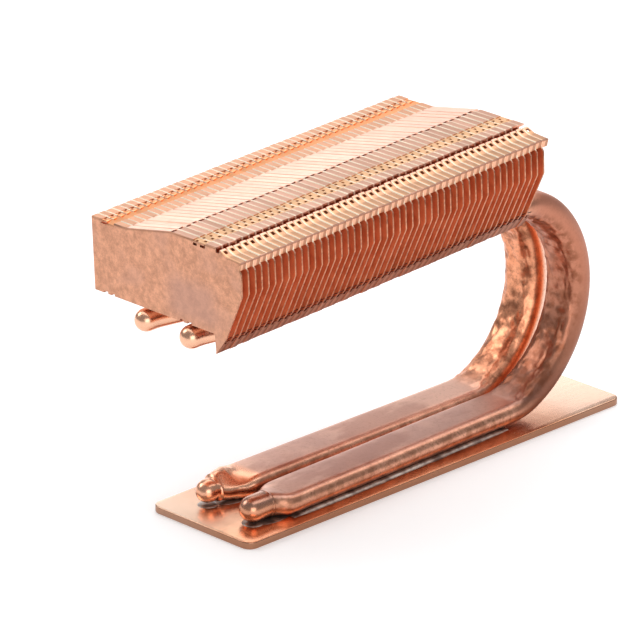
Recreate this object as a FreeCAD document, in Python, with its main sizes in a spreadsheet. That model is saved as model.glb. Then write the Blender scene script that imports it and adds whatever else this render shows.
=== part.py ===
"""Copper heat sink for a stick-type solid state drive.

A thin base plate lies on the drive. Two heat pipes are soldered along it, turn up and back in one
U-bend each, and carry a stack of interlocked copper fins above the plate.

Units are millimetres. X runs across the plate, Y along it towards the bend, and Z up. The origin is
the centre of the plate's underside.
"""
import FreeCAD, Part
import math
import os

import Sketcher

V = FreeCAD.Vector
doc = FreeCAD.newDocument("ssd_heatsink")
sheet = doc.addObject("Spreadsheet::Sheet", "dims")

SIZES = {
    # base plate
    "plate_width": 20.0,
    "plate_length": 77.0,
    "plate_thick": 1.1,
    "plate_corner": 1.6,
    # 6 mm tube: pressed flat along both runs, a little oval through the bend
    "flat_width": 7.4,
    "flat_depth": 3.4,
    "oval_width": 6.9,
    "oval_depth": 5.0,
    # centre line of the U: a tight entry, the main bend and a tight exit
    "entry_radius": 11.7,
    "entry_angle": 25.0,
    "bend_radius": 16.6,
    "exit_radius": 10.0,
    "deck_tilt": 2.7,
    "bend_start": 18.3,
    # tips
    "lower_tip_inset": 5.5,
    "neck_length": 7.5,
    "lower_ball": 2.05,
    "upper_ball": 1.7,
    "upper_droop": 0.4,
    "tip_behind_face": 0.7,
    "lower_pinch_width": 3.8,
    "lower_pinch_depth": 3.3,
    "upper_pinch_width": 3.0,
    "upper_pinch_depth": 2.6,
    # places across the plate, right pipe then left pipe
    "right_lower_tip": 4.9,
    "right_run": 3.7,
    "right_bend_top": 4.7,
    "right_upper_run": 3.95,
    "right_upper_tip": 3.8,
    "left_lower_tip": -4.0,
    "left_run": -4.0,
    "left_bend_top": -4.5,
    "left_upper_run": -5.1,
    "left_upper_tip": -5.2,
    # solder
    "solder_film": 0.1,
    "solder_rise": 0.65,
    "solder_reach": 1.0,
    "solder_slope": 40.0,
    "solder_lead": 1.5,
    "solder_waist": 1.2,
    "solder_tip_reach": 1.5,
    # fins
    "fin_count": 48.0,
    "fin_pitch": 1.27,
    "fin_sheet": 0.25,
    "stack_setback": 1.8,
    "stack_left": -14.75,
    # fin outline, from its lower left corner
    "left_height": 10.95,
    "ramp_start": 6.9,
    "ridge_place": 16.1,
    "ridge_height": 12.85,
    "shoulder_end": 24.85,
    "step_foot": 26.85,
    "step_foot_height": 11.95,
    "wing_end": 29.55,
    "wing_height": 11.75,
    "lip_depth": 1.15,
    "lip_inset": 0.3,
    "side_place": 29.6,
    "side_top": 10.2,
    "side_foot": 6.85,
    "leg_top_place": 26.1,
    "leg_top_drop": 0.4,
    "leg_root": 24.0,
    "leg_tip_place": 24.15,
    "leg_length": 2.95,
    # openings in the fin's top flange
    "ridge_slit": 0.25,
    "shoulder_slot_run": 0.35,
    "shoulder_slot_drop": 0.16,
    "left_lock_start": 1.9,
    "left_lock_end": 4.5,
    "right_lock_start": 20.3,
    "right_lock_end": 22.7,
    "lock_depth": 0.7,
}


class Size:
    """A value together with the expression that gives it from the sheet."""

    def __init__(self, value, text):
        self.value = float(value)
        self.text = text

    def __add__(self, other):
        other = as_size(other)
        return Size(self.value + other.value, f"({self.text} + {other.text})")

    def __radd__(self, other):
        return as_size(other) + self

    def __sub__(self, other):
        other = as_size(other)
        return Size(self.value - other.value, f"({self.text} - {other.text})")

    def __rsub__(self, other):
        return as_size(other) - self

    def __mul__(self, other):
        other = as_size(other)
        return Size(self.value * other.value, f"({self.text} * {other.text})")

    def __rmul__(self, other):
        return as_size(other) * self

    def __truediv__(self, other):
        other = as_size(other)
        return Size(self.value / other.value, f"({self.text} / {other.text})")

    def __neg__(self):
        return 0 - self


def as_size(number):
    return number if isinstance(number, Size) else Size(number, f"({number:.9g})")


def sine(angle):
    return Size(math.sin(math.radians(angle.value)), f"sin({angle.text} * 1 deg)")


def cosine(angle):
    return Size(math.cos(math.radians(angle.value)), f"cos({angle.text} * 1 deg)")


def between(first, last, share):
    return first * (1 - share) + last * share


def smooth(share):
    """Ease from 0 to 1 with flat ends."""
    share = min(max(share, 0.0), 1.0)
    return share * share * (3 - 2 * share)


def fill_sheet():
    sizes = {}
    for row, (name, number) in enumerate(SIZES.items(), start=1):
        sheet.set(f"A{row}", name)
        sheet.set(f"B{row}", str(number))
        sheet.setAlias(f"B{row}", name)
        sizes[name] = Size(number, f"dims.{name}")
    doc.recompute()
    return sizes


D = fill_sheet()


def bind(thing, prop, size):
    """Set a property to a size and keep it tied to the sheet."""
    thing.setExpression(prop, size.text)


def place(thing, x=None, y=None, z=None, turn=None, axis=V(1, 0, 0)):
    """Place a thing by sizes, turned about one axis."""
    angle = as_size(0 if turn is None else turn)
    spot = V(*(as_size(part or 0).value for part in (x, y, z)))
    thing.Placement = FreeCAD.Placement(spot, FreeCAD.Rotation(axis, angle.value or 1.0))
    for letter, part in (("x", x), ("y", y), ("z", z)):
        thing.setExpression(f"Placement.Base.{letter}", as_size(part or 0).text)
    thing.setExpression("Placement.Rotation.Angle", f"{angle.text} * 1 deg")


def origin_plane(body, role):
    for feature in body.Origin.OriginFeatures:
        if feature.Role == role:
            return feature
    raise RuntimeError(f"{body.Name} has no {role}")


def pin(sketch, geometry, point, x, y):
    """Hold one point of a sketch at x, y."""
    for kind, size in (("DistanceX", x), ("DistanceY", y)):
        size = as_size(size)
        index = sketch.addConstraint(Sketcher.Constraint(kind, -1, 1, geometry, point, size.value))
        sketch.setExpression(f"Constraints[{index}]", size.text)


def outline(sketch, corners):
    """Draw a closed outline through corners given as pairs of sizes."""
    corners = [(as_size(x), as_size(y)) for x, y in corners]
    first = sketch.GeometryCount
    for start, end in zip(corners, corners[1:] + corners[:1]):
        line = Part.LineSegment(V(start[0].value, start[1].value, 0), V(end[0].value, end[1].value, 0))
        sketch.addGeometry(line, False)
    count = len(corners)
    for step in range(count):
        following = first + (step + 1) % count
        sketch.addConstraint(Sketcher.Constraint("Coincident", first + step, 2, following, 1))
    for step, (x, y) in enumerate(corners):
        pin(sketch, first + step, 1, x, y)


def body_sketch(body, name, role):
    sketch = body.newObject("Sketcher::SketchObject", name)
    sketch.AttachmentSupport = [(origin_plane(body, role), "")]
    sketch.MapMode = "FlatFace"
    return sketch


def oval(name, width, depth, **where):
    """A flattened tube's section: two flats joined by two half rounds."""
    sketch = doc.addObject("Sketcher::SketchObject", name)
    reach = (width - depth) / 2
    half = depth / 2
    c, r = reach.value, half.value
    sketch.addGeometry(Part.LineSegment(V(-c, r, 0), V(c, r, 0)), False)
    right = Part.Circle(V(c, 0, 0), V(0, 0, 1), r)
    sketch.addGeometry(Part.ArcOfCircle(right, -math.pi / 2, math.pi / 2), False)
    sketch.addGeometry(Part.LineSegment(V(c, -r, 0), V(-c, -r, 0)), False)
    left = Part.Circle(V(-c, 0, 0), V(0, 0, 1), r)
    sketch.addGeometry(Part.ArcOfCircle(left, math.pi / 2, 3 * math.pi / 2), False)
    for pair in ((0, 2, 1, 2), (1, 1, 2, 1), (2, 2, 3, 2), (3, 1, 0, 1)):
        sketch.addConstraint(Sketcher.Constraint("Tangent", *pair))
    sketch.addConstraint(Sketcher.Constraint("Horizontal", 0))
    pin(sketch, 1, 3, reach, 0)
    pin(sketch, 3, 3, -reach, 0)
    index = sketch.addConstraint(Sketcher.Constraint("Radius", 1, r))
    sketch.setExpression(f"Constraints[{index}]", half.text)
    place(sketch, **where)
    return sketch


# Base plate


def base_plate():
    body = doc.addObject("PartDesign::Body", "base_plate")
    sketch = body_sketch(body, "plate_outline", "XY_Plane")
    x, y = D["plate_width"] / 2, D["plate_length"] / 2
    outline(sketch, [(-x, -y), (x, -y), (x, y), (-x, y)])
    pad = body.newObject("PartDesign::Pad", "plate")
    pad.Profile = sketch
    bind(pad, "Length", D["plate_thick"])
    doc.recompute()
    upright = [f"Edge{number}" for number, edge in enumerate(pad.Shape.Edges, start=1)
               if abs(edge.tangentAt(edge.FirstParameter).z) > 0.99]
    corners = body.newObject("PartDesign::Fillet", "plate_corners")
    corners.Base = (pad, upright)
    bind(corners, "Radius", D["plate_corner"])
    body.Tip = corners
    return body


# Heat pipes

HALF_TURN = 180.0
RUN_HEIGHT = D["plate_thick"] + D["solder_film"] + D["flat_depth"] / 2
TURN_BACK = HALF_TURN + D["deck_tilt"]
MAIN_END = HALF_TURN - D["entry_angle"]


def arc_step(radius, start, end):
    """How far a centre line moves along Y and Z over one arc."""
    return radius * (sine(end) - sine(start)), radius * (cosine(start) - cosine(end))


ENTRY = arc_step(D["entry_radius"], as_size(0), D["entry_angle"])
MAIN = arc_step(D["bend_radius"], D["entry_angle"], MAIN_END)
EXIT = arc_step(D["exit_radius"], MAIN_END, TURN_BACK)
DECK_Y = D["bend_start"] + ENTRY[0] + MAIN[0] + EXIT[0]
DECK_Z = RUN_HEIGHT + ENTRY[1] + MAIN[1] + EXIT[1]


def on_deck(back, rise=0):
    """Y and Z of a point on the upper run: so far back from the bend, so far above the centre line."""
    back, rise = as_size(back), as_size(rise)
    y = DECK_Y - back * cosine(D["deck_tilt"]) - rise * sine(D["deck_tilt"])
    z = DECK_Z - back * sine(D["deck_tilt"]) + rise * cosine(D["deck_tilt"])
    return y, z


STACK_LENGTH = D["fin_count"] * D["fin_pitch"]
UPPER_TIP = D["stack_setback"] + STACK_LENGTH - D["tip_behind_face"]
LOWER_TIP = D["lower_tip_inset"] - D["plate_length"] / 2

# how far the tube turns before it is fully oval, in degrees
SWELL_TURN = 38.0
# lofted steps along the entry, the main bend and the exit
ARC_STEPS = (2, 6, 3)
# rings of a closed tip's dome, in degrees from its point
DOME_TURNS = (28.0, 60.0, 98.0)
# a dome's width against its depth
DOME_SPREAD = 1.05
# share of the neck at the pinch behind the dome and at the shoulder
PINCH = 0.5
SHOULDER = 0.8
# how far the tube has opened from the pinch to its flat section at the shoulder
SHOULDER_OPEN = 0.6


def bend_stations():
    """Centre line through the U as angle, Y and Z."""
    y, z = D["bend_start"], RUN_HEIGHT
    stations = [(as_size(0), y, z)]
    arcs = (
        (D["entry_radius"], as_size(0), D["entry_angle"]),
        (D["bend_radius"], D["entry_angle"], MAIN_END),
        (D["exit_radius"], MAIN_END, TURN_BACK),
    )
    for (radius, start, end), steps in zip(arcs, ARC_STEPS):
        for step in range(1, steps + 1):
            angle = between(start, end, step / steps)
            along, up = arc_step(radius, start, angle)
            stations.append((angle, y + along, z + up))
        y, z = stations[-1][1:]
    return stations


def swelling(angle):
    """Share of the oval section: none on the flat runs, all of it through the middle of the bend."""
    return smooth(angle / SWELL_TURN) * smooth((HALF_TURN - angle) / SWELL_TURN)


def tip_rings(ball, pinch):
    """Rings of a closed tip: distance behind the dome's centre, share of the neck, width and depth."""
    rings = []
    for turn in DOME_TURNS:
        turn = as_size(turn)
        across = 2 * ball * sine(turn)
        rings.append((-ball * cosine(turn), 0.0, across * DOME_SPREAD, across))
    flat = D["flat_width"], D["flat_depth"]
    shoulder = [between(*pair, SHOULDER_OPEN) for pair in zip(pinch, flat)]
    for share, (width, depth) in ((PINCH, pinch), (SHOULDER, shoulder), (1.0, flat)):
        rings.append((D["neck_length"] * share, share, width, depth))
    return rings


def heat_pipe(side):
    """One closed tube, skinned through its rings from the lower tip round the bend to the upper tip."""
    low_tip, run, top, high_run, high_tip = (
        D[f"{side}_{spot}"] for spot in ("lower_tip", "run", "bend_top", "upper_run", "upper_tip"))
    rings = []

    def ring(x, y, z, angle, width, depth):
        name = f"{side}_ring_{len(rings) + 1:02d}"
        rings.append(oval(name, width, depth, x=x, y=y, z=z, turn=angle + 90))

    pinch = D["lower_pinch_width"], D["lower_pinch_depth"]
    for along, share, width, depth in tip_rings(D["lower_ball"], pinch):
        rise = (D["lower_ball"] - D["flat_depth"] / 2) * (1 - smooth(share))
        ring(between(low_tip, run, share), LOWER_TIP + along, RUN_HEIGHT + rise, as_size(0),
             width, depth)
    for angle, y, z in bend_stations():
        share = swelling(angle.value)
        ring(between(run, top, min(angle.value / HALF_TURN, 1.0)), y, z, angle,
             between(D["flat_width"], D["oval_width"], share),
             between(D["flat_depth"], D["oval_depth"], share))
    pinch = D["upper_pinch_width"], D["upper_pinch_depth"]
    for along, share, width, depth in reversed(tip_rings(D["upper_ball"], pinch)):
        y, z = on_deck(UPPER_TIP - along, -D["upper_droop"] * (1 - smooth(share)))
        ring(between(high_tip, high_run, share), y, z, TURN_BACK, width, depth)

    pipe = doc.addObject("Part::Loft", f"heat_pipe_{side}")
    pipe.Sections = rings
    pipe.Solid = True
    pipe.Ruled = True
    return pipe


# Fins


def strip(corners, sheet_thick):
    """Outline of a folded strip: the outer line, and the same line one sheet further in."""
    outer = [(as_size(x), as_size(z)) for x, z in corners]
    inner = []
    for index, (x, z) in enumerate(outer):
        normals = []
        for first, last in ((index - 1, index), (index, index + 1)):
            if first < 0 or last >= len(outer):
                continue
            run = outer[last][0].value - outer[first][0].value
            climb = outer[last][1].value - outer[first][1].value
            length = math.hypot(run, climb)
            normals.append((climb / length, -run / length))
        if len(normals) == 1:
            shift = normals[0]
        else:
            (ax, az), (bx, bz) = normals
            scale = 1 / (1 + ax * bx + az * bz)
            shift = ((ax + bx) * scale, (az + bz) * scale)
        inner.append((x + sheet_thick * shift[0], z + sheet_thick * shift[1]))
    return outer + inner[::-1]


def first_fin():
    body = doc.addObject("PartDesign::Body", "fin_01")
    sheet_thick = D["fin_sheet"]
    low, high = D["left_height"], D["ridge_height"]
    lip_end = (D["wing_end"] - D["lip_inset"], D["wing_height"] - D["lip_depth"])
    step_top = (D["shoulder_end"] + D["shoulder_slot_run"], high - D["shoulder_slot_drop"])

    web = body_sketch(body, "web_outline", "XZ_Plane")
    outline(web, [
        (0, 0), (0, low),
        (D["left_lock_start"], low), (D["left_lock_start"], low - D["lock_depth"]),
        (D["left_lock_end"], low - D["lock_depth"]), (D["left_lock_end"], low),
        (D["ramp_start"], low), (D["ridge_place"], high),
        (D["right_lock_start"], high), (D["right_lock_start"], high - D["lock_depth"]),
        (D["right_lock_end"], high - D["lock_depth"]), (D["right_lock_end"], high),
        (D["shoulder_end"], high), step_top,
        (D["step_foot"], D["step_foot_height"]), (D["wing_end"], D["wing_height"]), lip_end,
        (D["side_place"], D["side_top"]), (D["side_place"], D["side_foot"]),
        (D["leg_top_place"], -D["leg_top_drop"]), (D["leg_tip_place"], -D["leg_length"]),
        (D["leg_root"], 0),
    ])
    pad = body.newObject("PartDesign::Pad", "web")
    pad.Profile = web
    pad.Reversed = True
    bind(pad, "Length", sheet_thick)

    folds = body_sketch(body, "flange_sections", "XZ_Plane")
    half_slit = D["ridge_slit"] / 2
    ridge_rise = (high - low) / (D["ridge_place"] - D["ramp_start"])
    strips = (
        [(0, low), (D["left_lock_start"], low)],
        [(D["left_lock_end"], low), (D["ramp_start"], low),
         (D["ridge_place"] - half_slit, high - ridge_rise * half_slit)],
        [(D["ridge_place"] + half_slit, high), (D["right_lock_start"], high)],
        [(D["right_lock_end"], high), (D["shoulder_end"], high)],
        [step_top, (D["step_foot"], D["step_foot_height"]), (D["wing_end"], D["wing_height"]), lip_end],
        [(D["leg_top_place"], -D["leg_top_drop"]), (D["leg_tip_place"], -D["leg_length"])],
        [(D["leg_root"], 0), (0, 0)],
    )
    for corners in strips:
        outline(folds, strip(corners, sheet_thick))
    flanges = body.newObject("PartDesign::Pad", "flanges")
    flanges.Profile = folds
    flanges.Reversed = True
    bind(flanges, "Length", D["fin_pitch"])
    body.Tip = flanges
    return body


FIN_FLOOR = D["flat_depth"] / 2 + D["solder_film"]


def place_fin(fin, number):
    """Stand a fin on the pipes; fin 1 is the one furthest from the bend."""
    back = D["stack_setback"] + STACK_LENGTH - D["fin_pitch"] * (number - 1)
    y, z = on_deck(back, FIN_FLOOR)
    place(fin, D["stack_left"], y, z, turn=D["deck_tilt"])


def fin_stack():
    master = first_fin()
    place_fin(master, 1)
    fins = [master]
    for number in range(2, int(SIZES["fin_count"]) + 1):
        fin = doc.addObject("App::Link", f"fin_{number:02d}")
        fin.LinkedObject = master
        place_fin(fin, number)
        fins.append(fin)
    return fins


# Solder


def solder_bed(pipes):
    """A film under the runs and the tips, and beads along the runs with the pipes' own shape in them."""
    half = D["flat_width"] / 2 + D["solder_reach"]
    inner = half - D["solder_waist"]
    tip = D["solder_tip_reach"]
    tip_y = LOWER_TIP - tip
    run_y = LOWER_TIP + D["neck_length"]
    waist_y = run_y - D["solder_lead"]
    end_y = D["bend_start"] - D["solder_lead"]
    left, right = D["left_run"], D["right_run"]

    body = doc.addObject("PartDesign::Body", "solder_blank")
    ground = body_sketch(body, "film_outline", "XY_Plane")
    outline(ground, [
        (D["left_lower_tip"] - tip, tip_y),
        (D["left_lower_tip"] + tip, tip_y),
        (left + inner, waist_y),
        (right - inner, waist_y),
        (D["right_lower_tip"] - tip, tip_y),
        (D["right_lower_tip"] + tip, tip_y),
        (right + half, run_y),
        (right + half, end_y),
        (left - half, end_y),
        (left - half, run_y),
    ])
    film = body.newObject("PartDesign::Pad", "film")
    film.Profile = ground
    bind(film, "Length", D["solder_film"])

    sides = body_sketch(body, "bead_outline", "XY_Plane")
    outline(sides, [(left - half, run_y), (right + half, run_y), (right + half, end_y), (left - half, end_y)])
    beads = body.newObject("PartDesign::Pad", "beads")
    beads.Profile = sides
    bind(beads, "Length", D["solder_rise"])
    bind(beads, "TaperAngle", -D["solder_slope"])
    body.Tip = beads
    place(body, z=D["plate_thick"])

    both = doc.addObject("Part::MultiFuse", "pipe_pair")
    both.Shapes = pipes
    bed = doc.addObject("Part::Cut", "solder_bed")
    bed.Base = body
    bed.Tool = both
    return bed


def solder_strip(side):
    """Thin solder layer between a pipe's flat top and the fins' lower flanges."""
    bar = doc.addObject("Part::Box", f"solder_strip_{side}")
    width = D["flat_width"] - D["flat_depth"]
    bind(bar, "Length", width)
    bind(bar, "Width", STACK_LENGTH - D["neck_length"])
    bind(bar, "Height", D["solder_film"])
    y, z = on_deck(D["stack_setback"] + STACK_LENGTH - D["neck_length"], D["flat_depth"] / 2)
    middle = (D[f"{side}_bend_top"] + D[f"{side}_upper_run"]) / 2
    place(bar, middle - width / 2, y, z, turn=D["deck_tilt"])
    return bar


def check(parts):
    doc.recompute()
    for thing in doc.Objects:
        if any(word in thing.State for word in ("Invalid", "Error")):
            raise RuntimeError(f"{thing.Name} failed: {thing.State}")
    for part in parts:
        shape = Part.getShape(part)
        if shape.isNull() or not shape.isValid():
            raise RuntimeError(f"{part.Label} has no valid shape")


def main():
    plate = base_plate()
    pipes = [heat_pipe("left"), heat_pipe("right")]
    parts = [plate] + pipes + fin_stack()
    parts += [solder_bed(pipes), solder_strip("left"), solder_strip("right")]
    check(parts)
    os.makedirs("parts", exist_ok=True)
    for part in parts:
        Part.getShape(part).exportStep(f"parts/{part.Label}.step")


main()
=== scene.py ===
"""Studio picture of a copper heat sink for a stick solid state drive.

The flat base plate, the two U-bend pipes, the stack of folded fins and the solder are modelled and
coloured here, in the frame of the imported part: +X across the plate, +Y along it towards the bends, +Z
up. The part's places and sizes are in millimetres, and MM turns them to metres.
"""

import math
import random
from collections import namedtuple

import bmesh
import bpy
from mathutils import Matrix, Vector, noise


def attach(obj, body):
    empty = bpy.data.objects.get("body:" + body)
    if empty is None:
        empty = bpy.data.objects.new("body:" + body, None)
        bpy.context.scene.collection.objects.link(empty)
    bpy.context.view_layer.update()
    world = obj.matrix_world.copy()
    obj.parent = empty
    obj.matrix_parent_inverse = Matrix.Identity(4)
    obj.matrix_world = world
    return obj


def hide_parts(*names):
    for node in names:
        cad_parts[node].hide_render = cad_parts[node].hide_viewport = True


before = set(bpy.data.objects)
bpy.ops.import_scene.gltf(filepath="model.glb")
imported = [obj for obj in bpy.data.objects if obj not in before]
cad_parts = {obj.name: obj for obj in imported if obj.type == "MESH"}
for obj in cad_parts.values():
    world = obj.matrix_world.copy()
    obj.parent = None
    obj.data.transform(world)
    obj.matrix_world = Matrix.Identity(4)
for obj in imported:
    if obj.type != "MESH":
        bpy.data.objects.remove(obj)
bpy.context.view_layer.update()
scene = bpy.context.scene

MM = 0.001

# Camera, at the picture's angle

CAMERA_PLACE = Vector((499.6, -515.4, 302.5)) * MM
CAMERA_AZIMUTH = math.radians(44.94)
CAMERA_ELEVATION = math.radians(21.41)
CAMERA_ROLL = math.radians(0.12)
CAMERA_LENS = 302.85
CAMERA_SENSOR = 36.0
CAMERA_NEAR, CAMERA_FAR = 0.05, 20.0


def make_camera():
    data = bpy.data.cameras.new("studio_camera")
    data.lens = CAMERA_LENS
    data.sensor_width = CAMERA_SENSOR
    data.clip_start = CAMERA_NEAR
    data.clip_end = CAMERA_FAR
    camera = bpy.data.objects.new("studio_camera", data)
    scene.collection.objects.link(camera)
    turn = Matrix.Rotation(CAMERA_AZIMUTH, 4, "Z")
    tip = Matrix.Rotation(math.pi / 2 - CAMERA_ELEVATION, 4, "X")
    roll = Matrix.Rotation(CAMERA_ROLL, 4, "Z")
    camera.matrix_world = Matrix.Translation(CAMERA_PLACE) @ turn @ tip @ roll
    scene.camera = camera


# Places on the part, in millimetres, from the same values as its source

PLATE_WIDTH, PLATE_LENGTH, PLATE_THICK = 20.0, 77.0, 1.1
# the radii of the plate's corners and of its worn rim
PLATE_CORNER, PLATE_RIM = 1.6, 0.16
# the middle of the pipes' lower runs above the floor, and the pipes' width and depth where they are
# pressed flat and in the bend
RUN_HEIGHT = 2.9
FLAT = (7.4, 3.4)
OVAL = (6.9, 5.0)
# the middles of the pipes' end domes: along the plate, and back from the end of the bend
LOWER_TIP, UPPER_TIP_BACK = -33.0, 62.06
# the slope of the upper runs and of the stack
DECK_TILT = math.radians(2.7)
FIN_COUNT = 48
FIN_PITCH = 1.27
BEND_START = 18.3
# each arc of the U as its radius and its end, in degrees
ARCS = ((11.7, 25.0), (16.6, 155.0), (10.0, 182.7))
ARC_STEPS = (4, 15, 4)
# degrees over which the tube swells to its full oval
SWELL_TURN = 38.0
# in the stack's own sloping directions: its near face, its left side and its underside
STACK_START = -42.58
STACK_LEFT = -14.75
STACK_FLOOR = 35.9
# the middle of the bend's main arc, and its radius
BEND_MIDDLE = (16.2, 19.0)
BEND_RADIUS = 16.6
# the fins' low and high tops above their bottom flange, and the slope between them, from the left side
FIN_LOW, FIN_HIGH = 10.95, 12.85
SLOPE_START, SLOPE_END = 6.9, 16.1

# Shader arithmetic


class Value:
    """A number that varies over a surface, with plain arithmetic."""

    def __init__(self, finish, socket):
        self.finish = finish
        self.socket = socket

    def arithmetic(self, operation, first, second):
        return self.finish.node("Math", {"operation": operation}, [first, second])

    def __add__(self, other):
        return self.arithmetic("ADD", self, other)

    def __radd__(self, other):
        return self.arithmetic("ADD", other, self)

    def __sub__(self, other):
        return self.arithmetic("SUBTRACT", self, other)

    def __rsub__(self, other):
        return self.arithmetic("SUBTRACT", other, self)

    def __mul__(self, other):
        return self.arithmetic("MULTIPLY", self, other)

    def __truediv__(self, other):
        return self.arithmetic("DIVIDE", self, other)

    def __pow__(self, other):
        return self.arithmetic("POWER", self, other)

    def least(self, other):
        return self.arithmetic("MINIMUM", self, other)

    def most(self, other):
        return self.arithmetic("MAXIMUM", self, other)

    def size(self):
        return self.arithmetic("ABSOLUTE", self, 0.0)

    def whole(self):
        return self.arithmetic("FLOOR", self, 0.0)

    def ramp(self, low, high):
        """0 below low, 1 above high, eased in between."""
        settings = {"interpolation_type": "SMOOTHSTEP"}
        return self.finish.node("MapRange", settings, {"Value": self, "From Min": low, "From Max": high})


class Finish:
    """One procedural material, built from nodes."""

    def __init__(self, name):
        self.material = bpy.data.materials.new(name)
        self.material.use_nodes = True
        self.tree = self.material.node_tree
        self.surface = self.tree.nodes["Principled BSDF"]

    def feed(self, socket, value):
        if isinstance(value, Value):
            self.tree.links.new(value.socket, socket)
        else:
            socket.default_value = value

    def node(self, kind, settings=None, sockets=None, output=0):
        """Add a node: its settings first, then the values or links of its sockets."""
        node = self.tree.nodes.new("ShaderNode" + kind)
        for name, value in (settings or {}).items():
            setattr(node, name, value)
        pairs = sockets.items() if isinstance(sockets, dict) else enumerate(sockets or [])
        for name, value in pairs:
            self.feed(node.inputs[name], value)
        return Value(self, node.outputs[output])

    def place(self):
        return self.node("TexCoord", output="Object")

    def axes(self):
        """The X, Y and Z of a point on the piece, in millimetres."""
        split = self.node("SeparateXYZ", sockets=[self.place()], output="X")
        node = split.socket.node
        return [Value(self, node.outputs[axis]) / MM for axis in "XYZ"]

    def spots(self, size_mm, detail=2.0, roughness=0.5, stretch=(1, 1, 1), seed=0.0):
        """Cloudy noise from 0 to 1, with spots about size_mm across."""
        point = self.node("Mapping", sockets={"Vector": self.place(), "Scale": stretch,
                                              "Location": (seed, seed, seed)})
        settings = {"noise_dimensions": "3D"}
        return self.node("TexNoise", settings, {"Vector": point, "Scale": 1 / (size_mm * MM),
                                                "Detail": detail, "Roughness": roughness})

    def mix(self, share, first, second):
        """A colour between two colours."""
        settings = {"data_type": "RGBA"}
        first, second = (value if isinstance(value, Value) else (*value, 1.0) for value in (first, second))
        return self.node("Mix", settings, {0: share, 6: first, 7: second}, output=2)

    def coats(self, colour, *layers):
        """Lay colours over a first one, each given as its share and the colour."""
        for share, tint in layers:
            colour = self.mix(share, colour, tint)
        return colour

    def bump(self, height, distance_mm, strength):
        return self.node("Bump", sockets={"Height": height, "Distance": distance_mm * MM,
                                          "Strength": strength})

    def set(self, **sockets):
        for name, value in sockets.items():
            name = name.replace("_", " ").title()
            if not isinstance(value, Value) and "Color" in name:
                value = (*value, 1.0)
            self.feed(self.surface.inputs[name], value)


# Finishes


def on_stack(finish):
    """A point on the fins: across from the left side, sheets along the stack, and height, in millimetres."""
    x, y, z = finish.axes()
    along = (y * math.cos(DECK_TILT) + z * math.sin(DECK_TILT) - STACK_START) / FIN_PITCH
    return x - STACK_LEFT, along, z * math.cos(DECK_TILT) - y * math.sin(DECK_TILT) - STACK_FLOOR


def band(value, middle, half, soft=0.1):
    """1 near the middle, 0 outside."""
    return 1 - (value - middle).size().ramp(half - soft, half)


def fin_copper():
    """Stamped copper sheet: satin, each sheet a tone of its own, with painted shade where two sheets meet
    and on the legs under the stack, and a painted highlight along each fold.
    """
    finish = Finish("fin_copper")
    across, along, height = on_stack(finish)
    number = (along + 0.02).whole()
    tone = finish.node("TexWhiteNoise", {"noise_dimensions": "1D"}, {"W": number})
    seam = along - number
    cloud = finish.spots(1.4, detail=4.0, roughness=0.6)
    grain = finish.spots(0.14, detail=2.0)
    leg = 1 - height.ramp(-0.3, 0.1)
    flat = height.ramp(10.5, 10.7) * (1 - band(across, 11.5, 4.6)) * (1 - across.ramp(24.6, 24.8))
    left_flat = flat * (1 - across.ramp(7.0, 10.0))
    wing = across.ramp(25.6, 25.8) * height.ramp(10.0, 10.2) * (1 - across.ramp(29.2, 29.4))
    lip = across.ramp(29.1, 29.25) * band(height, 10.95, 0.75)
    lip_line = across.ramp(29.2, 29.35) * band(height, 11.66, 0.16, 0.05)
    locks = band(across, 3.2, 1.35) * height.ramp(9.8, 10.0)
    tabs = band(across, 21.5, 1.25) * height.ramp(12.0, 12.2)
    # fold: a painted highlight along each sheet's rounded fold, cream and less metallic, standing in for the
    # light the fold catches
    fold = (flat + wing).least(1.0) * (1 - seam.ramp(0.14, 0.2)) * along.ramp(0.3, 0.4)
    first_edge = 1 - along.ramp(0.18, 0.24)
    colour = finish.coats(
        finish.mix(tone, (0.84, 0.45, 0.31), (0.95, 0.55, 0.40)),
        (wing * 0.8, (0.90, 0.50, 0.26)),
        # painted shade across each flange and the wing, deepening towards the next sheet
        ((flat * 0.25 + wing * 0.75) * seam.ramp(0.2, 0.5), (0.48, 0.25, 0.14)),
        (left_flat * 0.8, (1.0, 0.50, 0.28)),
        (cloud.ramp(0.4, 0.7) * 0.35, (0.78, 0.42, 0.29)),
        (locks * 0.65, (1.0, 0.42, 0.17)),
        (tabs * 0.7, (1.0, 0.60, 0.30)),
        # painted shade on the legs under the stack, deepest towards the next sheet
        (leg * (0.55 + seam.ramp(0.2, 0.9) * 0.4), (0.30, 0.11, 0.06)),
        (lip * 0.5, (0.80, 0.40, 0.23)),
        (lip * seam.ramp(0.5, 0.56) * 0.7, (0.36, 0.15, 0.08)),
        (lip_line * 0.7, (0.25, 0.1, 0.06)),
        # a painted shade line in the gap where two sheets meet, fainter on the flats
        (seam.ramp(0.93, 0.97) * (0.35 - flat * 0.2), (0.40, 0.16, 0.08)),
        # the painted fold highlight
        (fold, (1.0, 0.86, 0.66)),
        (first_edge * 0.7, (0.38, 0.19, 0.11)),
    )
    finish.set(base_color=colour, metallic=1 - fold * 0.9, roughness=0.25 + tone * 0.08 + cloud * 0.12,
               normal=finish.bump(grain, 0.01, 0.3))
    return finish.material


def edge_copper():
    """The sheets' cut edges: bright, a little burred."""
    finish = Finish("edge_copper")
    burr = finish.spots(0.5, detail=3.0, roughness=0.7)
    colour = finish.mix(burr.ramp(0.3, 0.7), (0.36, 0.14, 0.08), (0.74, 0.37, 0.22))
    finish.set(base_color=colour, metallic=1.0, roughness=0.34 + burr * 0.2)
    return finish.material


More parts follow.
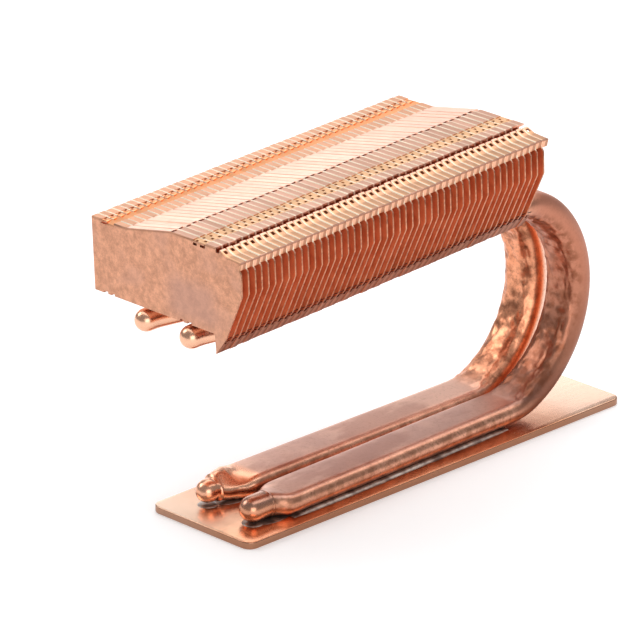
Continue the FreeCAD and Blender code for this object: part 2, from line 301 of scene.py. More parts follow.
def web_copper():
    """The broad faces between the sheets: dull red copper, its deep red a painted warm glow of light
    bouncing in the gaps.
    """
    finish = Finish("web_copper")
    cloud = finish.spots(2.5, detail=4.0, roughness=0.6)
    colour = finish.mix(cloud.ramp(0.35, 0.65), (0.74, 0.17, 0.06), (0.90, 0.25, 0.10))
    finish.set(base_color=colour, metallic=0.45, roughness=0.42 + cloud * 0.12)
    return finish.material


def end_copper():
    """The stack's end faces: matte, mottled by handling, greyer towards one side."""
    finish = Finish("end_copper")
    across, _, height = on_stack(finish)
    patches = finish.spots(5.0, detail=2.0, roughness=0.5, seed=0.021)
    cloud = finish.spots(1.1, detail=7.0, roughness=0.8)
    fine = finish.spots(0.22, detail=4.0, roughness=0.75)
    grey_across = 1 - ((across - 19.7).size() / 6.5).ramp(0.4, 1.0)
    grey_up = 1 - ((height - 3.6).size() / 4.5).ramp(0.3, 1.0)
    slope = ((across - SLOPE_START) / (SLOPE_END - SLOPE_START)).most(0.0).least(1.0)
    top = FIN_LOW + slope * (FIN_HIGH - FIN_LOW)
    colour = finish.coats(
        finish.mix(cloud.ramp(0.2, 0.8), (0.42, 0.19, 0.11), (0.90, 0.46, 0.29)),
        (patches.ramp(0.46, 0.64) * 0.4, (0.60, 0.32, 0.23)),
        (grey_across * grey_up * 0.6, (0.50, 0.28, 0.22)),
        (fine.ramp(0.62, 0.8) * 0.35, (1.0, 0.66, 0.45)),
        ((height - top).ramp(-0.4, -0.05) * 0.6, (0.36, 0.17, 0.10)),
    )
    finish.set(base_color=colour, metallic=0.85, roughness=0.44 + cloud * 0.12,
               normal=finish.bump(cloud + fine * 0.5, 0.03, 0.4))
    return finish.material


def plate_copper():
    """Rolled plate: satin, with faint lines along it, paler ends, specks and a browned rim."""
    finish = Finish("plate_copper")
    x, y, _ = finish.axes()
    cloud = finish.spots(6.0, detail=5.0, roughness=0.66)
    lines = finish.spots(0.5, detail=3.0, stretch=(1, 0.02, 1))
    specks = finish.spots(0.3, detail=2.0)
    pale = ((1 - y.ramp(-38.0, -24.0)) * (1 - x.ramp(-6.0, 8.0) * 0.9)).most(y.ramp(24.0, 31.0) * 0.6)
    heat = x.ramp(5.0, 8.0) * y.ramp(-34.0, -28.0) * (1 - y.ramp(22.0, 30.0))
    flat_x, flat_y = PLATE_WIDTH / 2 - PLATE_CORNER, PLATE_LENGTH / 2 - PLATE_CORNER
    over_x, over_y = (x.size() - flat_x).most(0.0), (y.size() - flat_y).most(0.0)
    rim = (over_x * over_x + over_y * over_y) ** 0.5 - PLATE_CORNER
    colour = finish.coats(
        finish.mix(cloud.ramp(0.32, 0.68), (0.78, 0.34, 0.18), (0.97, 0.52, 0.32)),
        (pale * 0.85, (1.0, 0.72, 0.55)),
        (heat * 0.6, (0.72, 0.27, 0.12)),
        (specks.ramp(0.68, 0.76) * 0.4, (0.40, 0.20, 0.12)),
        (rim.ramp(-0.14, -0.02) * 0.85, (0.31, 0.15, 0.09)),
    )
    finish.set(base_color=colour, metallic=1.0, roughness=0.15 + cloud * 0.13 + lines * 0.07,
               normal=finish.bump(lines, 0.01, 0.25))
    return finish.material


def pipe_copper():
    """Drawn tube: polished tips, heat tint, dull tops on the lower runs and dark dusty patches, with painted
    reflections on the tops and the bends, and painted shade on the runs' sides, inside the bend and on a
    lower dome's top.
    """
    finish = Finish("pipe_copper")
    x, y, z = finish.axes()
    cloud = finish.spots(3.5, detail=5.0, roughness=0.62)
    fine = finish.spots(0.4, detail=5.0, roughness=0.7)
    blot = finish.spots(1.6, detail=3.0, roughness=0.6, seed=0.007)
    haze = finish.spots(5.0, detail=3.0, roughness=0.55, stretch=(1, 0.35, 1), seed=0.013)
    left = 1 - x.ramp(-1.0, 0.4)
    tip = 1 - (y - left * 4.4).ramp(-30.6, -29.4)
    low_tip = tip * (1 - z.ramp(8.0, 9.0))
    high_tip = tip - low_tip
    neck = (1 - left) * low_tip * y.ramp(-31.6, -30.8)
    bend = y.ramp(18.0, 23.0)
    out_y, out_z = y - BEND_MIDDLE[0], z - BEND_MIDDLE[1]
    reach = (out_y * out_y + out_z * out_z) ** 0.5
    inside = bend * (1 - reach.ramp(BEND_RADIUS - 1.4, BEND_RADIUS - 0.2))
    # warm: a painted orange glow of light bounced from the right pipe onto the left pipe's bend; the rest of
    # that bend, its outer rim, gets a painted pale reflection
    warm = bend * left * (1 - reach.ramp(BEND_RADIUS - 0.3, BEND_RADIUS + 0.6))
    dull = z.ramp(4.1, 4.5) * (1 - z.ramp(5.5, 9.0)) * (1 - tip)
    # side: painted shade on the lower runs' sides, deepest at the near end
    side = (1 - z.ramp(3.6, 4.3)) * (1 - tip)
    tint = bend * (1 - left)
    # flank: a painted orange glow of light bouncing between the pipes, on the right pipe's left flank
    # towards the outside of the bend
    flank = tint * (1 - x.ramp(1.8, 2.8)) * reach.ramp(BEND_RADIUS - 1.6, BEND_RADIUS - 0.8)
    # bright: a painted reflection of the lights on the lower runs' tops, at their near end and along the
    # left pipe towards the bend
    bright = (1 - y.ramp(-28.0, -19.0)).most(left * y.ramp(-12.0, 0.0) * 0.8)
    dust = fine.ramp(0.46, 0.74) * (1 - tip) * (0.55 - tint * 0.3 - dull * 0.35)
    brown = finish.mix(z.ramp(6.0, 28.0), (0.26, 0.10, 0.06), (0.50, 0.19, 0.115))
    polished = finish.mix(left, (0.66, 0.29, 0.165), (0.86, 0.44, 0.28))
    colour = finish.coats(
        finish.mix(cloud.ramp(0.34, 0.66), (0.62, 0.28, 0.18), (0.88, 0.45, 0.30)),
        (dull * 0.7, (0.47, 0.28, 0.235)),
        # painted reflection on the tops
        (dull * bright * 0.7, (0.86, 0.52, 0.39)),
        (dull * haze.ramp(0.48, 0.62) * 0.55, (0.38, 0.17, 0.125)),
        # painted shade on the sides
        (side * (0.35 - y.ramp(-16.0, -6.0) * 0.3), (0.52, 0.21, 0.11)),
        (side * (1 - bend) * blot.ramp(0.46, 0.62) * 0.55, (0.36, 0.15, 0.08)),
        # dark specks, heavier on the sides to deepen the painted shade there
        ((dull * 0.2 + side * 0.5) * fine.ramp(0.56, 0.72), (0.20, 0.11, 0.08)),
        (tint * 0.85, brown),
        # painted orange glow on the right pipe's flank
        (flank * 0.85, (0.97, 0.40, 0.17)),
        # painted orange glow on the left pipe's bend
        (warm * 0.8, (0.88, 0.36, 0.19)),
        # painted pale reflection on the left bend's outer rim
        ((bend * left - warm) * 0.8, (1.0, 0.68, 0.54)),
        (dust, (0.30, 0.13, 0.08)),
        # dark blots inside the bend: partly blotches, partly painted shade in its creases under the upper
        # run
        (blot.ramp(0.40, 0.66) * inside * 0.75, (0.24, 0.08, 0.04)),
        (low_tip * 0.8, polished),
        (neck * 0.5, (0.46, 0.20, 0.12)),
        (high_tip * 0.8, (0.88, 0.50, 0.33)),
        # painted shade on the top of the right lower dome, under the stack
        (low_tip * (1 - left) * z.ramp(3.7, 4.5) * 0.6, (0.36, 0.21, 0.17)),
    )
    rough = 0.2 + cloud * 0.12 + fine * 0.14 + haze * dull * 0.1 + tint * (1 - inside * 0.9) * 0.16
    finish.set(base_color=colour, metallic=1.0, roughness=rough * (1 - tip * 0.2),
               normal=finish.bump(fine * (1 - low_tip * 0.85), 0.02, 0.3))
    return finish.material


def solder_grey():
    """Dull grey solder with brown flux stains."""
    finish = Finish("solder_grey")
    cloud = finish.spots(1.6, detail=4.0, roughness=0.6)
    colour = finish.mix(cloud.ramp(0.35, 0.65), (0.20, 0.15, 0.13), (0.46, 0.38, 0.33))
    finish.set(base_color=colour, metallic=0.85, roughness=0.28 + cloud * 0.16,
               normal=finish.bump(cloud, 0.03, 0.2))
    return finish.material


# Studio

FLOOR_SIZE, FLOOR_DROP = 8.0, 0.02
# each soft box: its name, its place, its width and height, and its power, in metres and watts
LIGHTS = (
    ("back_light", (-0.91, 0.76, 0.16), (1.2, 0.3), 1.75),
    ("top_light", (-0.05, 0.3, 1.1), (1.6, 1.6), 13.0),
    ("high_back_light", (-0.83, 0.72, 0.62), (1.1, 0.35), 0.12),
    ("plate_light", (-0.150, 0.082, 0.080), (0.08, 0.05), 0.009),
    ("front_light", (-0.95, -0.5, 0.85), (0.6, 0.6), 4.0),
    ("right_light", (0.95, -0.62, 0.3), (0.8, 0.6), 3.6),
)


def floor_white():
    finish = Finish("floor_white")
    finish.set(base_color=(0.92, 0.92, 0.92), roughness=0.6, emission_color=(1.0, 1.0, 1.0),
               emission_strength=0.22)
    return finish.material


def make_floor():
    bpy.ops.mesh.primitive_plane_add(size=FLOOR_SIZE, location=(0, 0, -FLOOR_DROP * MM))
    floor = bpy.context.object
    floor.name = "floor"
    floor.data.materials.append(floor_white())


def soft_light(name, place, size, power):
    """A soft box that faces the part: its place, its width and height, and its power."""
    data = bpy.data.lights.new(name, "AREA")
    data.shape = "RECTANGLE"
    data.size, data.size_y = size
    data.energy = power
    light = bpy.data.objects.new(name, data)
    scene.collection.objects.link(light)
    place = Vector(place)
    light.matrix_world = Matrix.Translation(place) @ (-place).to_track_quat("-Z", "Y").to_matrix().to_4x4()
    light.visible_camera = False


def make_light():
    """Dim air, with soft boxes behind the part, above it, in front and on its right, and close by."""
    world = bpy.data.worlds.new("studio_air")
    world.use_nodes = True
    background = world.node_tree.nodes["Background"]
    background.inputs["Color"].default_value = (0.95, 0.97, 1.0, 1.0)
    background.inputs["Strength"].default_value = 0.36
    scene.world = world
    for light in LIGHTS:
        soft_light(*light)
    scene.view_settings.view_transform = "Standard"


# Modelling steps


def rest_hands():
    """Back to object mode with nothing selected."""
    if bpy.context.mode != "OBJECT":
        bpy.ops.object.mode_set(mode="OBJECT")
    bpy.ops.object.select_all(action="DESELECT")


def pick(piece):
    """Select one piece in object mode."""
    rest_hands()
    piece.select_set(True)
    bpy.context.view_layer.objects.active = piece


def work_on(piece):
    """Open one piece in edit mode with all of it selected."""
    pick(piece)
    bpy.ops.object.mode_set(mode="EDIT")
    bpy.ops.mesh.select_all(action="SELECT")


def choose(piece, kind, test):
    """Select the verts, edges or faces for which a test holds."""
    modes = {"verts": "VERT", "edges": "EDGE", "faces": "FACE"}
    bpy.ops.mesh.select_mode(type=modes[kind])
    bpy.ops.mesh.select_all(action="DESELECT")
    mesh = bmesh.from_edit_mesh(piece.data)
    for element in getattr(mesh, kind):
        if test(element):
            element.select_set(True)
    mesh.select_flush_mode()
    bmesh.update_edit_mesh(piece.data)


def finish_piece(piece, name, materials, slot, *nodes, smooth_angle=30.0):
    """Shade a piece, settle its place in its mesh, and let it stand for its nodes."""
    pick(piece)
    bpy.ops.object.transform_apply(location=True, rotation=True, scale=True)
    if smooth_angle:
        bpy.ops.object.shade_smooth_by_angle(angle=math.radians(smooth_angle))
    piece.name = name
    piece.data.name = name
    for material in materials:
        piece.data.materials.append(material)
    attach(piece, "root")
    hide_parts(*nodes)


def apply_modifier(piece, kind, name, **settings):
    pick(piece)
    modifier = piece.modifiers.new(name, kind)
    for key, value in settings.items():
        setattr(modifier, key, value)
    bpy.ops.object.modifier_apply(modifier=name)


def drop_empty_faces(piece):
    """Dissolve faces that have no area."""
    work_on(piece)
    bpy.ops.mesh.dissolve_degenerate(threshold=0.0001 * MM)
    rest_hands()


def ease(share):
    """0 up to 0, 1 from 1, eased in between."""
    share = min(max(share, 0.0), 1.0)
    return share * share * (3 - 2 * share)


def blend(first, last, share):
    return first * (1 - share) + last * share


def nearest(spot, places):
    """The number of the place that is nearest to a spot."""
    return min(range(len(places)), key=lambda step: (spot - places[step]).length)


def draw_through(piece, outlines):
    """Draw a closed circle out through a row of outlines, point to point."""
    work_on(piece)
    mesh = bmesh.from_edit_mesh(piece.data)
    for vert, spot in zip(mesh.verts, outlines[0]):
        vert.co = spot
    bmesh.update_edit_mesh(piece.data)
    for before, after in zip(outlines, outlines[1:]):
        bpy.ops.mesh.extrude_region_move()
        mesh = bmesh.from_edit_mesh(piece.data)
        for vert in mesh.verts:
            if vert.select:
                vert.co = after[nearest(vert.co, before)]
        bmesh.update_edit_mesh(piece.data)
    bpy.ops.mesh.select_all(action="SELECT")
    bpy.ops.mesh.normals_make_consistent(inside=False)
    rest_hands()


# Base plate


def make_plate(material):
    """A rolled plate with rounded corners and a worn rim."""
    rest_hands()
    bpy.ops.mesh.primitive_cube_add(size=1.0, location=(0, 0, PLATE_THICK * MM / 2))
    piece = bpy.context.object
    work_on(piece)
    bpy.ops.transform.resize(value=(PLATE_WIDTH * MM, PLATE_LENGTH * MM, PLATE_THICK * MM))
    choose(piece, "edges", lambda edge: abs(edge.verts[0].co.z - edge.verts[1].co.z) > 0.5 * MM)
    bpy.ops.mesh.bevel(offset=PLATE_CORNER * MM, segments=8, affect="EDGES")

    def is_rim(edge):
        first, second = (face.normal for face in edge.link_faces)
        return abs(first.z) + abs(second.z) > 0.9 and abs(first.dot(second)) < 0.1

    choose(piece, "edges", is_rim)
    bpy.ops.mesh.bevel(offset=PLATE_RIM * MM, segments=3, affect="EDGES")
    finish_piece(piece, "base_plate_rolled", [material], "plate_copper", "base_plate")


# Heat pipes

RING_POINTS = 24
# one ring of a pipe: its centre in millimetres, its heading in degrees, its width and depth, its twist
# in degrees, and how strongly the tube is creased there
Station = namedtuple("Station", "centre heading width depth twist crease")


def section(width, depth, twist=0.0):
    """Points of a flattened tube's section, as steps across and up from its centre."""
    reach, half = (width - depth) / 2, depth / 2
    turned = math.radians(twist)
    points = []
    for step in range(RING_POINTS):
        angle = 2 * math.pi * (step + 0.5) / RING_POINTS
        across = half * math.cos(angle) + math.copysign(max(reach, 0.0), math.cos(angle))
        up = half * math.sin(angle)
        points.append((across * math.cos(turned) + up * math.sin(turned),
                       up * math.cos(turned) - across * math.sin(turned)))
    return points


def bend_path():
    """Centre line through the U: angle in degrees, Y and Z in millimetres."""
    y, z, start = BEND_START, RUN_HEIGHT, 0.0
    stations = [(0.0, y, z)]
    for (radius, end), steps in zip(ARCS, ARC_STEPS):
        low = math.radians(start)
        for step in range(1, steps + 1):
            angle = blend(start, end, step / steps)
            high = math.radians(angle)
            stations.append((angle, y + radius * (math.sin(high) - math.sin(low)),
                             z + radius * (math.cos(low) - math.cos(high))))
        start = end
        y, z = stations[-1][1:]
    return stations


DECK_START = bend_path()[-1][1:]


def on_deck(back, rise):
    """Y and Z on the upper run: so far back from the bend, so far above the centre line."""
    y, z = DECK_START
    return (y - back * math.cos(DECK_TILT) - rise * math.sin(DECK_TILT),
            z - back * math.sin(DECK_TILT) + rise * math.cos(DECK_TILT))


# a tip's rings as distance behind the dome's centre, width, depth, twist, and rise of the centre
DRAWN_TIP = (
    (0.9, 3.90, 3.86, 0, 0.0), (1.7, 3.94, 3.86, 0, -0.02), (2.3, 3.94, 3.84, 0, -0.05),
    (2.46, 3.94, 3.82, 0, -0.06), (2.56, 4.12, 3.96, 0, -0.06), (2.72, 4.14, 3.96, 0, -0.07),
    (2.84, 4.0, 3.74, 0, -0.08), (3.3, 4.4, 3.62, 0, -0.12), (3.9, 5.2, 3.50, 0, -0.18),
    (4.6, 6.2, 3.42, 0, -0.26), (5.3, 6.9, 3.40, 0, -0.32), (5.42, 7.0, 3.46, 0, -0.32),
    (5.54, 7.02, 3.40, 0, -0.33), (6.1, 7.28, 3.40, 0, -0.34), (6.9, 7.42, 3.40, 0, -0.35),
    (9.5, 7.40, 3.40, 0, -0.35),
)
CRIMPED_TIP = (
    (0.5, 3.5, 3.5, 0, 0.0), (1.05, 3.6, 3.35, 30, 0.02), (1.2, 4.1, 3.3, 38, 0.08),
    (1.3, 4.3, 3.2, 42, 0.1), (1.42, 4.1, 2.5, 44, 0.1), (2.2, 4.5, 2.4, 44, 0.1),
    (3.0, 5.0, 2.4, 40, 0.08), (3.8, 5.4, 2.5, 33, 0.02), (4.05, 5.6, 2.6, 30, 0.0),
    (4.5, 5.9, 2.6, 25, -0.06), (5.3, 6.5, 2.8, 15, -0.18), (6.1, 7.1, 3.1, 6, -0.3),
    (6.8, 7.4, 3.35, 1, -0.35), (8.4, 7.4, 3.4, 0, -0.35), (9.8, 7.4, 3.4, 0, -0.35),
)
UPPER_TIP = (
    (0.7, 3.45, 3.35, 0, 0.0), (1.5, 3.7, 3.25, 0, 0.0), (2.4, 4.4, 3.1, 0, 0.03),
    (3.4, 5.3, 3.1, 0, 0.1), (4.6, 6.3, 3.2, 0, 0.2), (5.8, 7.0, 3.3, 0, 0.3),
    (7.0, 7.4, 3.4, 0, 0.4), (9.0, 7.4, 3.4, 0, 0.4),
)
# the domes' rings in degrees from their point, and the domes' radii
DOME_TURNS = (12, 28, 44, 60, 76, 90)
DRAWN_BALL, CRIMPED_BALL, UPPER_BALL = 1.93, 1.75, 1.7
# how far the domes' centres lie above the runs' centre line
LOWER_LIFT, UPPER_LIFT = 0.35, -0.4
# where each pipe's centre is across the plate: at the lower tip, the neck, the start of the bend, its
# top, the upper run and the upper tip
ACROSS = {"right": (4.9, 4.3, 3.42, 4.7, 3.95, 3.8), "left": (-4.1, -4.0, -4.0, -4.5, -5.1, -5.2)}
# how far each pipe's pattern of creases is shifted, so that the two differ
PATTERN_SHIFT = {"right": 7.0, "left": 14.0}


def tip_rings(ball, table, lift):
    """A closed tip from its point: distance behind the dome's centre, width, depth, twist and rise."""
    rings = []
    for turn in DOME_TURNS:
        turn = math.radians(turn)
        across = 2 * ball * math.sin(turn)
        rings.append((-ball * math.cos(turn), across, across, 0, lift))
    rings += [(back, width, depth, twist, lift + rise) for back, width, depth, twist, rise in table]
    return rings


def pipe_stations(lower, upper, across):
    """Every ring of a pipe from its lower tip to its upper tip.

    The creases are on the inside of the bend and, where a tip is twisted, behind the tip's point.
    """
    low_tip, neck, run_end, top, high_run, high_tip = across
    stations = []
    neck_length = lower[-1][0]
    for back, width, depth, twist, rise in lower:
        x = blend(low_tip, neck, ease(back / neck_length))
        crumple = ease((twist - 8.0) / 10.0) * ease((back - 1.3) / 0.6)
        stations.append(Station((x, LOWER_TIP + back, RUN_HEIGHT + rise), 0.0, width, depth, twist, crumple))
    run_start = LOWER_TIP + neck_length
    for step in (0.2, 0.4, 0.6, 0.8):
        centre = (blend(neck, run_end, ease(step)), blend(run_start, BEND_START, step), RUN_HEIGHT)
        stations.append(Station(centre, 0.0, *FLAT, 0.0, 0.0))
    for angle, y, z in bend_path():
        swell = ease(angle / SWELL_TURN) * ease((180.0 - angle) / SWELL_TURN)
        width, depth = (blend(flat, oval, swell) for flat, oval in zip(FLAT, OVAL))
        x = blend(run_end, top, ease(min(angle / 180.0, 1.0)))
        crease = ease(angle / 14.0) * ease((178.0 - angle) / 20.0)
        stations.append(Station((x, y, z), angle, width, depth, 0.0, crease))
    deck_heading = ARCS[-1][1]
    deck_length = UPPER_TIP_BACK - upper[-1][0]
    for step in (0.15, 0.4, 0.7):
        y, z = on_deck(deck_length * step, 0.0)
        x = blend(top, high_run, ease(step * 2))
        stations.append(Station((x, y, z), deck_heading, *FLAT, 0.0, 0.0))
    for back, width, depth, twist, rise in reversed(upper):
        y, z = on_deck(UPPER_TIP_BACK - back, rise)
        x = blend(high_tip, high_run, ease(back / upper[-1][0]))
        stations.append(Station((x, y, z), deck_heading, width, depth, -twist, 0.0))
    return stations


def ring_places(station):
    """The points of one ring, in metres."""
    x, y, z = station.centre
    heading = math.radians(station.heading)
    places = []
    for across, up in section(station.width, station.depth, station.twist):
        places.append(Vector((x + across, y - up * math.sin(heading), z + up * math.cos(heading))) * MM)
    return places


def make_pipe(stations):
    """Draw a closed tube ring by ring along its stations."""
    rest_hands()
    bpy.ops.mesh.primitive_circle_add(vertices=RING_POINTS, radius=MM, fill_type="NGON", location=(0, 0, 0))
    piece = bpy.context.object
    draw_through(piece, [ring_places(station) for station in stations])
    return piece


def push_in(piece, group, kind, size_mm, depth_mm):
    """Push a marked part of the tube in and out by a pattern."""
    pattern = bpy.data.textures.new(group, kind)
    pattern.noise_scale = size_mm * MM
    pattern.contrast = 1.5
    if kind == "CLOUDS":
        pattern.noise_depth = 1
    apply_modifier(piece, "DISPLACE", "creases", texture=pattern, texture_coords="GLOBAL", mid_level=0.6,
                   strength=depth_mm * MM, vertex_group=group)
    bpy.data.textures.remove(pattern)


def crease_inside(piece, stations, shift_mm):
    """Mark the inside of the bend and the crimped folds, smooth the tube, and push the creases in."""
    bend = piece.vertex_groups.new(name="inside_of_bend")
    crimp = piece.vertex_groups.new(name="crimped_folds")
    for row, station in enumerate(stations):
        marks, low_side = (crimp, -0.5) if station.twist else (bend, 0.45)
        places = ring_places(station)
        for vert in piece.data.vertices[row * RING_POINTS:(row + 1) * RING_POINTS]:
            angle = 2 * math.pi * (nearest(vert.co, places) + 0.5) / RING_POINTS
            weight = station.crease * ease((math.sin(angle) - low_side) / 0.5)
            if weight > 0.0:
                marks.add([vert.index], weight, "REPLACE")
    apply_modifier(piece, "SUBSURF", "round_off", levels=2, render_levels=2)
    piece.location = (shift_mm * MM, 0.0, 0.0)
    push_in(piece, "inside_of_bend", "CLOUDS", 1.0, 0.42)
    push_in(piece, "crimped_folds", "VORONOI", 2.4, 0.13)
    piece.location = (0.0, 0.0, 0.0)


def make_pipes(material):
    """Both pipes: the right one with a drawn lower tip, the left one with a crimped one."""
    upper = tip_rings(UPPER_BALL, UPPER_TIP, UPPER_LIFT)
    for side, ball, table in (("right", DRAWN_BALL, DRAWN_TIP), ("left", CRIMPED_BALL, CRIMPED_TIP)):
        stations = pipe_stations(tip_rings(ball, table, LOWER_LIFT), upper, ACROSS[side])
        piece = make_pipe(stations)
        crease_inside(piece, stations, PATTERN_SHIFT[side])
        finish_piece(piece, f"{side}_pipe_drawn", [material], "pipe_copper", f"heat_pipe_{side}",
                     smooth_angle=50.0)


# Fins

# a fin's material slots
FLANGE, WEB, END, EDGE = 0, 1, 2, 3
# how far the slanted leg reaches below the bottom flange
LEG_LENGTH = 2.95
FOLD_ROUND, CREASE_ROUND = 0.19, 0.3
# no face of a web is smaller, in square millimetres
WEB_AREA = 20
SLIP_SEED = 48
# openings in a sheet, each between two corners, from its lower left corner
RIDGE_SLIT = ((15.84, 0.24, 12.2), (16.34, 1.4, 13.3))
SHOULDER_GROOVE = ((24.8, -0.1, 12.2), (25.42, 1.4, 13.3))
STEP_HOLE = ((25.78, 0.48, 11.6), (26.34, 1.02, 13.2))
LEG_NOTCHES = (((24.6, 0.25, -0.9), (26.6, 1.4, -0.4)), ((24.2, 0.25, -1.3), (26.4, 0.75, -0.8)))
FOOT_NOTCHES = (((1.95, -0.1, -0.3), (2.75, 0.5, 0.32)), ((3.45, -0.1, -0.3), (4.1, 0.5, 0.28)),
                ((17.2, -0.1, -0.3), (17.9, 0.5, 0.34)), ((18.6, -0.1, -0.3), (19.5, 0.5, 0.34)))
TAB_HOLES = (((20.7, 0.16, 12.0), (21.14, 0.56, 13.3)), ((21.84, 0.66, 12.0), (22.28, 1.06, 13.3)))


def fin_blank():
    """A joined copy of the first fin, squared up with its lower left corner at the origin."""
    rest_hands()
    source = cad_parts["fin_01"]
    piece = bpy.data.objects.new("fin_blank", source.data.copy())
    scene.collection.objects.link(piece)
    work_on(piece)
    bpy.ops.mesh.remove_doubles(threshold=0.001 * MM)
    bpy.ops.mesh.dissolve_limited(angle_limit=math.radians(1.0))
    rest_hands()
    piece.data.materials.clear()
    piece.data.transform(Matrix.Rotation(-DECK_TILT, 4, "X"))
    corner = Vector([min(vert.co[axis] for vert in piece.data.vertices) for axis in range(3)])
    corner.z += LEG_LENGTH * MM
    piece.data.transform(Matrix.Translation(-corner))
    return piece, Matrix.Rotation(DECK_TILT, 4, "X") @ Matrix.Translation(corner)


def add_block(low, high, slope=0.0, bevel=0.05):
    """A small folded tab between two corners; its far end is raised by the slope."""
    rest_hands()
    middle = [(first + last) / 2 * MM for first, last in zip(low, high)]
    bpy.ops.mesh.primitive_cube_add(size=1.0, location=middle)
    block = bpy.context.object
    work_on(block)
    bpy.ops.transform.resize(value=[(last - first) * MM for first, last in zip(low, high)])
    choose(block, "faces", lambda face: face.normal.y > 0.9)
    bpy.ops.transform.translate(value=(0, 0, slope * MM))
    if bevel:
        choose(block, "faces", lambda face: face.normal.z > 0.5)
        bpy.ops.mesh.bevel(offset=bevel * MM, segments=2, affect="EDGES")
    pick(block)
    bpy.ops.object.transform_apply(location=True, rotation=False, scale=False)
    return block


def join(pieces):
    """Join pieces into the first of them."""
    rest_hands()
    for piece in pieces:
        piece.select_set(True)
    bpy.context.view_layer.objects.active = pieces[0]
    bpy.ops.object.join()
    return pieces[0]


def cut(piece, openings):
    """Cut openings out of a piece, each between two corners."""
    cutter = join([add_block(low, high, bevel=0) for low, high in openings])
    apply_modifier(piece, "BOOLEAN", "openings", object=cutter, operation="DIFFERENCE", solver="EXACT",
                   use_self=True)
    bpy.data.objects.remove(cutter)


def fin_locks():
    """The lock tabs that stand in the fin's two notches."""
    low, high = FIN_LOW, FIN_HIGH
    right = add_block((20.36, 0.06, high - 0.36), (22.64, 1.24, high - 0.14), slope=0.1)
    cut(right, TAB_HOLES)
    return [
        right,
        add_block((21.2, 0.0, high - 0.72), (21.8, 0.26, high - 0.12)),
        add_block((2.15, 0.2, low - 0.36), (3.0, 1.12, low - 0.12), slope=0.06),
        add_block((2.98, 0.05, low - 0.68), (4.42, 1.22, low - 0.46), slope=0.4, bevel=0.08),
        add_block((1.92, 0.02, low - 0.95), (4.48, 0.3, low - 0.5)),
        add_block((1.84, 0.04, low - 0.3), (2.3, 0.62, low - 0.06), slope=0.03),
    ]


def make_fin():
    """One folded sheet with its lock tabs, holes and rounded folds."""
    piece, to_stack = fin_blank()
    pitch = FIN_PITCH * MM
    cut(piece, (RIDGE_SLIT, SHOULDER_GROOVE, STEP_HOLE, *LEG_NOTCHES, *FOOT_NOTCHES))
    work_on(piece)
    near = 0.02 * MM

    def is_fold(edge):
        if len(edge.link_faces) != 2 or any(vert.co.y > near for vert in edge.verts):
            return False
        return any(max(vert.co.y for vert in face.verts) > 0.9 * pitch and abs(face.normal.y) < 0.1
                   and face.normal.z > -0.5 for face in edge.link_faces)

    choose(piece, "edges", is_fold)
    bpy.ops.mesh.bevel(offset=FOLD_ROUND * MM, segments=3, affect="EDGES")

    def is_crease(edge):
        along = abs(edge.verts[0].co.y - edge.verts[1].co.y)
        return along > 0.7 * pitch and len(edge.link_faces) == 2 and all(
            face.normal.z > 0.3 for face in edge.link_faces) and edge.calc_face_angle() > math.radians(3.0)

    choose(piece, "edges", is_crease)
    bpy.ops.mesh.bevel(offset=CREASE_ROUND * MM, segments=2, affect="EDGES")
    # the flanges stop a hair short of the next sheet
    choose(piece, "faces", lambda face: face.normal.y > 0.9 and face.calc_center_median().y > 0.97 * pitch)
    bpy.ops.transform.translate(value=(0, -0.03 * MM, -0.01 * MM))
    rest_hands()
    piece = join([piece] + fin_locks())
    drop_empty_faces(piece)
    pick(piece)
    bpy.ops.object.shade_smooth_by_angle(angle=math.radians(35.0))
    apply_modifier(piece, "WEIGHTED_NORMAL", "flat_sheets", keep_sharp=True, weight=90)
    for face in piece.data.polygons:
        middle = face.center / MM
        is_web = abs(face.normal.y) > 0.7 and face.area > WEB_AREA * MM * MM
        is_edge = face.normal.x > 0.3 and middle.x > 22.0 and -0.3 < middle.z < 10.0
        face.material_index = WEB if is_web else EDGE if is_edge else FLANGE
    return piece, to_stack


def make_fins(*finishes):
    """Copy the fin down the stack, each copy a hair off true."""
    master, to_stack = make_fin()
    random_slip = random.Random(SLIP_SEED)
    ends = {1: -1.0, FIN_COUNT: 1.0}
    for number in range(1, FIN_COUNT + 1):
        slip = Matrix.Translation((random_slip.uniform(-0.03, 0.03) * MM,
                                   ((number - 1) * FIN_PITCH + random_slip.uniform(-0.02, 0.02)) * MM,
                                   random_slip.uniform(-0.04, 0.0) * MM))
        lean = Matrix.Rotation(math.radians(random_slip.uniform(-0.15, 0.15)), 4, "Y")
        fin = bpy.data.objects.new(f"fin_sheet_{number:02d}", master.data.copy())
        scene.collection.objects.link(fin)
        for face in fin.data.polygons:
            if number in ends and face.normal.y * ends[number] > 0.7:
                face.material_index = END
        fin.data.transform(to_stack @ slip @ lean)
        finish_piece(fin, fin.name, finishes, "fin_copper", f"fin_{number:02d}", smooth_angle=None)
    bpy.data.objects.remove(master)


# Solder

SEAM_POINTS, SEAM_STEPS = 8, 90
# the length over which a seam's edge wanders, and a pool's
SEAM_WANDER, POOL_WANDER = 4.0, 2.4
# seams beside the lower runs: the pipe, the side of it, the ends along the plate, and a seed
SEAMS = (("right", 1, -27.6, 17.2, 1.0), ("left", -1, -27.0, 17.2, 5.0),
         ("left", 1, -27.0, 6.0, 9.0), ("right", -1, -27.6, 6.0, 13.0))
# pools under the tips: place across and along the plate, reach across and along, and height
POOLS = ((4.95, -33.0, 1.45, 1.5, 0.24), (5.3, -29.6, 1.9, 3.2, 0.15),
         (-4.1, -32.9, 1.4, 1.5, 0.24), (-3.7, -29.4, 2.1, 2.7, 0.18))


def wander(place, seed):
    """A smooth random number from -1 to 1 along a seam."""
    return noise.noise(Vector((place / SEAM_WANDER, seed, 0.0)))


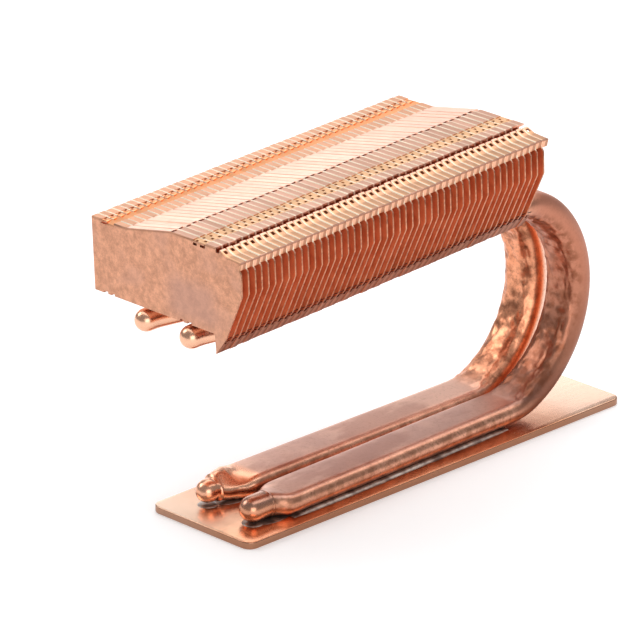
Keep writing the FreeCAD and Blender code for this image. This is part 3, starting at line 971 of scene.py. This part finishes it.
def run_across(side, y):
    """Where a lower run's centre is across the plate."""
    neck, run_end = ACROSS[side][1:3]
    run_start = LOWER_TIP + DRAWN_TIP[-1][0]
    return blend(neck, run_end, ease((y - run_start) / (BEND_START - run_start)))


def seam_section(reach, height):
    """A hollow fillet of solder: offsets from the pipe's middle and heights above the plate."""
    return ((1.9, 0.0), (1.9, 0.2), (2.75, 0.9 * height), (3.2, height), (3.5, 0.55 * height),
            (3.5 + 0.4 * reach, 0.22 * height), (3.5 + 0.8 * reach, 0.06 * height), (3.5 + reach, 0.0))


def add_seam(pipe, side, start, end, seed):
    """Solder along one side of a pipe's lower run, with a wandering edge."""
    rest_hands()
    bpy.ops.mesh.primitive_circle_add(vertices=SEAM_POINTS, radius=MM, fill_type="NGON", location=(0, 0, 0))
    seam = bpy.context.object
    outlines = []
    for step in range(SEAM_STEPS + 1):
        share = step / SEAM_STEPS
        y = blend(start, end, share)
        ends = ease(share * 12) * ease((1 - share) * 12)
        reach = (0.34 + 0.22 * wander(y, seed)) * (0.35 + 0.65 * ends)
        height = (0.36 + 0.08 * wander(y, seed + 7)) * (0.3 + 0.7 * ends)
        outlines.append([Vector((run_across(pipe, y) + side * across, y, PLATE_THICK + up)) * MM
                         for across, up in seam_section(reach, height)])
    draw_through(seam, outlines)
    return seam


def add_pool(x, y, across, along, height):
    """A flat pool of solder on the plate."""
    rest_hands()
    bpy.ops.mesh.primitive_uv_sphere_add(segments=48, ring_count=24, radius=MM,
                                         location=(x * MM, y * MM, PLATE_THICK * MM))
    pool = bpy.context.object
    work_on(pool)
    bpy.ops.transform.resize(value=(across, along, height))
    bpy.ops.mesh.bisect(plane_co=(x * MM, y * MM, (PLATE_THICK + 0.01) * MM), plane_no=(0, 0, 1),
                        clear_inner=True, use_fill=True, threshold=0.001 * MM)
    pick(pool)
    bpy.ops.object.transform_apply(location=True, rotation=False, scale=False)
    centre = Vector((x, y, 0)) * MM
    for vert in pool.data.vertices:
        drift = noise.noise(vert.co / (POOL_WANDER * MM)) * 0.16
        out = vert.co - centre
        vert.co.x += out.x * drift
        vert.co.y += out.y * drift
    return pool


def make_solder(material):
    """Solder fillets beside both lower runs, and pools under the tips."""
    piece = join([add_seam(*seam) for seam in SEAMS] + [add_pool(*pool) for pool in POOLS])
    drop_empty_faces(piece)
    finish_piece(piece, "solder_run", [material], "solder", "solder_bed", smooth_angle=60.0)


# The whole part


def dress(node, material):
    """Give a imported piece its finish."""
    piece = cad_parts[node]
    piece.data.materials.clear()
    piece.data.materials.append(material)


def main():
    make_camera()
    make_floor()
    make_light()
    solder = solder_grey()
    for side in ("left", "right"):
        dress(f"solder_strip_{side}", solder)
    make_plate(plate_copper())
    make_pipes(pipe_copper())
    make_fins(fin_copper(), web_copper(), end_copper(), edge_copper())
    make_solder(solder)


main()
